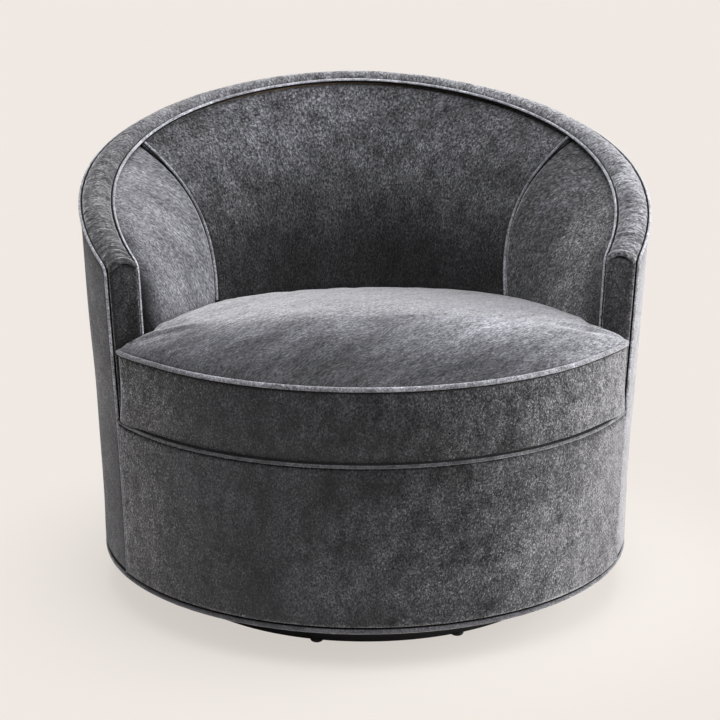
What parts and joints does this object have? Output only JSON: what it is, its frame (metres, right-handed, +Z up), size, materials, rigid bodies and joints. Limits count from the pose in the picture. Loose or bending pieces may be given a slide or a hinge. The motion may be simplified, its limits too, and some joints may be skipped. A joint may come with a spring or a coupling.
{
  "type": "swivel barrel armchair",
  "caption": "Round upholstered barrel chair with a sloping wrap-around rail, a deep loose seat cushion and a low ring base on which it swivels.",
  "frame": {"origin": "on the floor, on the swivel axis of the chair", "axes": "+Z up along the swivel axis, -Y out of the open front of the chair, +X to the right as seen by someone in front of it"},
  "size_m": [0.887, 0.8755, 0.753],
  "materials": {
    "velvet": "charcoal grey velvet with a mottled nap",
    "velvet_dark": "the same velvet with its nap laid the other way",
    "piping": "piping covered in the same velvet",
    "plywood": "raw plywood",
    "felt": "needled felt",
    "cambric": "black non-woven dust cloth",
    "black_steel": "satin black powder coat",
    "zinc_steel": "bright zinc plate",
    "spring_steel": "oiled spring wire",
    "nylon": "moulded nylon"
  },
  "bodies": {
    "base": {"base_ring": "black_steel", "base_cross": "black_steel", "swivel_lower_plate": "zinc_steel", "swivel_kingpin": "zinc_steel", "ball_cage": "zinc_steel", "base_bolt_1": "zinc_steel", "base_bolt_2": "zinc_steel", "base_bolt_3": "zinc_steel", "base_bolt_4": "zinc_steel", "glide_1": "nylon", "glide_2": "nylon", "glide_3": "nylon", "glide_4": "nylon", "glide_5": "nylon", "glide_6": "nylon", "glide_7": "nylon", "glide_8": "nylon"},
    "chair": {"outer_shell": "velvet", "inside_back_pad": "velvet", "inside_arm_pad_right": "velvet", "inside_arm_pad_left": "velvet", "rail_band": "velvet", "rail_outer_welt": "piping", "rail_inner_welt": "piping", "back_seam_welt_right": "piping", "back_seam_welt_left": "piping", "arm_front_right": "velvet_dark", "arm_front_left": "velvet_dark", "front_apron": "velvet", "drum_top_welt": "piping", "rear_rib_middle": "plywood", "rear_rib_right": "plywood", "rear_rib_left": "plywood", "side_rib_right": "plywood", "side_rib_left": "plywood", "front_post_right": "plywood", "front_post_left": "plywood", "top_rail": "plywood", "deck_front_rail": "plywood", "deck_side_rail_right": "plywood", "deck_side_rail_left": "plywood", "deck_rear_rail": "plywood", "seat_spring_1": "spring_steel", "seat_spring_2": "spring_steel", "seat_spring_3": "spring_steel", "seat_spring_4": "spring_steel", "seat_spring_5": "spring_steel", "deck_pad": "felt", "bottom_board": "plywood", "dust_cover": "cambric", "bottom_welt": "piping", "swivel_upper_plate": "zinc_steel", "swivel_spacer": "plywood", "plate_screw_1": "zinc_steel", "plate_screw_2": "zinc_steel", "plate_screw_3": "zinc_steel", "plate_screw_4": "zinc_steel"},
    "cushion": {"seat_cushion": "velvet", "cushion_welt": "piping"}
  },
  "joints": [
    {"name": "seat_swivel", "type": "hinge", "parent": "base", "child": "chair", "pos_m": [0, 0, 0.051], "axis": [0, 0, 1], "continuous": true},
    {"name": "cushion_lift", "type": "slide", "parent": "chair", "child": "cushion", "axis": [0, 0, 1], "range_m": [0, 0.4]}
  ]
}
